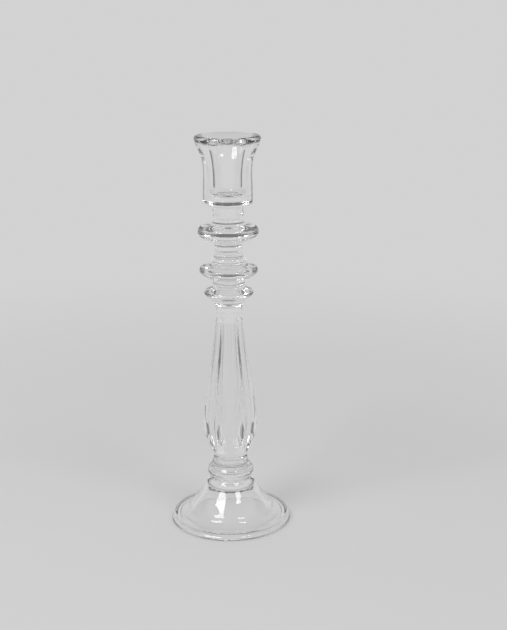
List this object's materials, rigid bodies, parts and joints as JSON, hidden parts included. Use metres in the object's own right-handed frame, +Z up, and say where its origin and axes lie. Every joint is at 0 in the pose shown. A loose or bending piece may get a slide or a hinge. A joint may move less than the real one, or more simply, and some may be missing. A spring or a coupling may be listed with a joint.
{
  "type": "glass candlestick",
  "caption": "Tall clear glass candlestick with a hollow domed foot, panelled baluster stem, disc knops and a flared thick-walled socket for a dinner candle.",
  "frame": {"origin": "middle of the plane the foot stands on", "axes": "+Z up along the candlestick's own axis, from the foot to the candle socket; one flat stem panel faces -Y"},
  "size_m": [0.0932, 0.0932, 0.3],
  "materials": {
    "clear_glass": "clear colourless fire-polished glass, smooth and glossy, with faint mould waviness and fine scuffs on the standing ring"
  },
  "bodies": {
    "root": {"foot": "clear_glass", "shoulder_wafer": "clear_glass", "collar_ring": "clear_glass", "stem": "clear_glass", "lower_knop": "clear_glass", "lower_wafer": "clear_glass", "middle_knop": "clear_glass", "middle_wafer": "clear_glass", "upper_knop": "clear_glass", "upper_wafer": "clear_glass", "candle_socket": "clear_glass"}
  },
  "joints": []
}
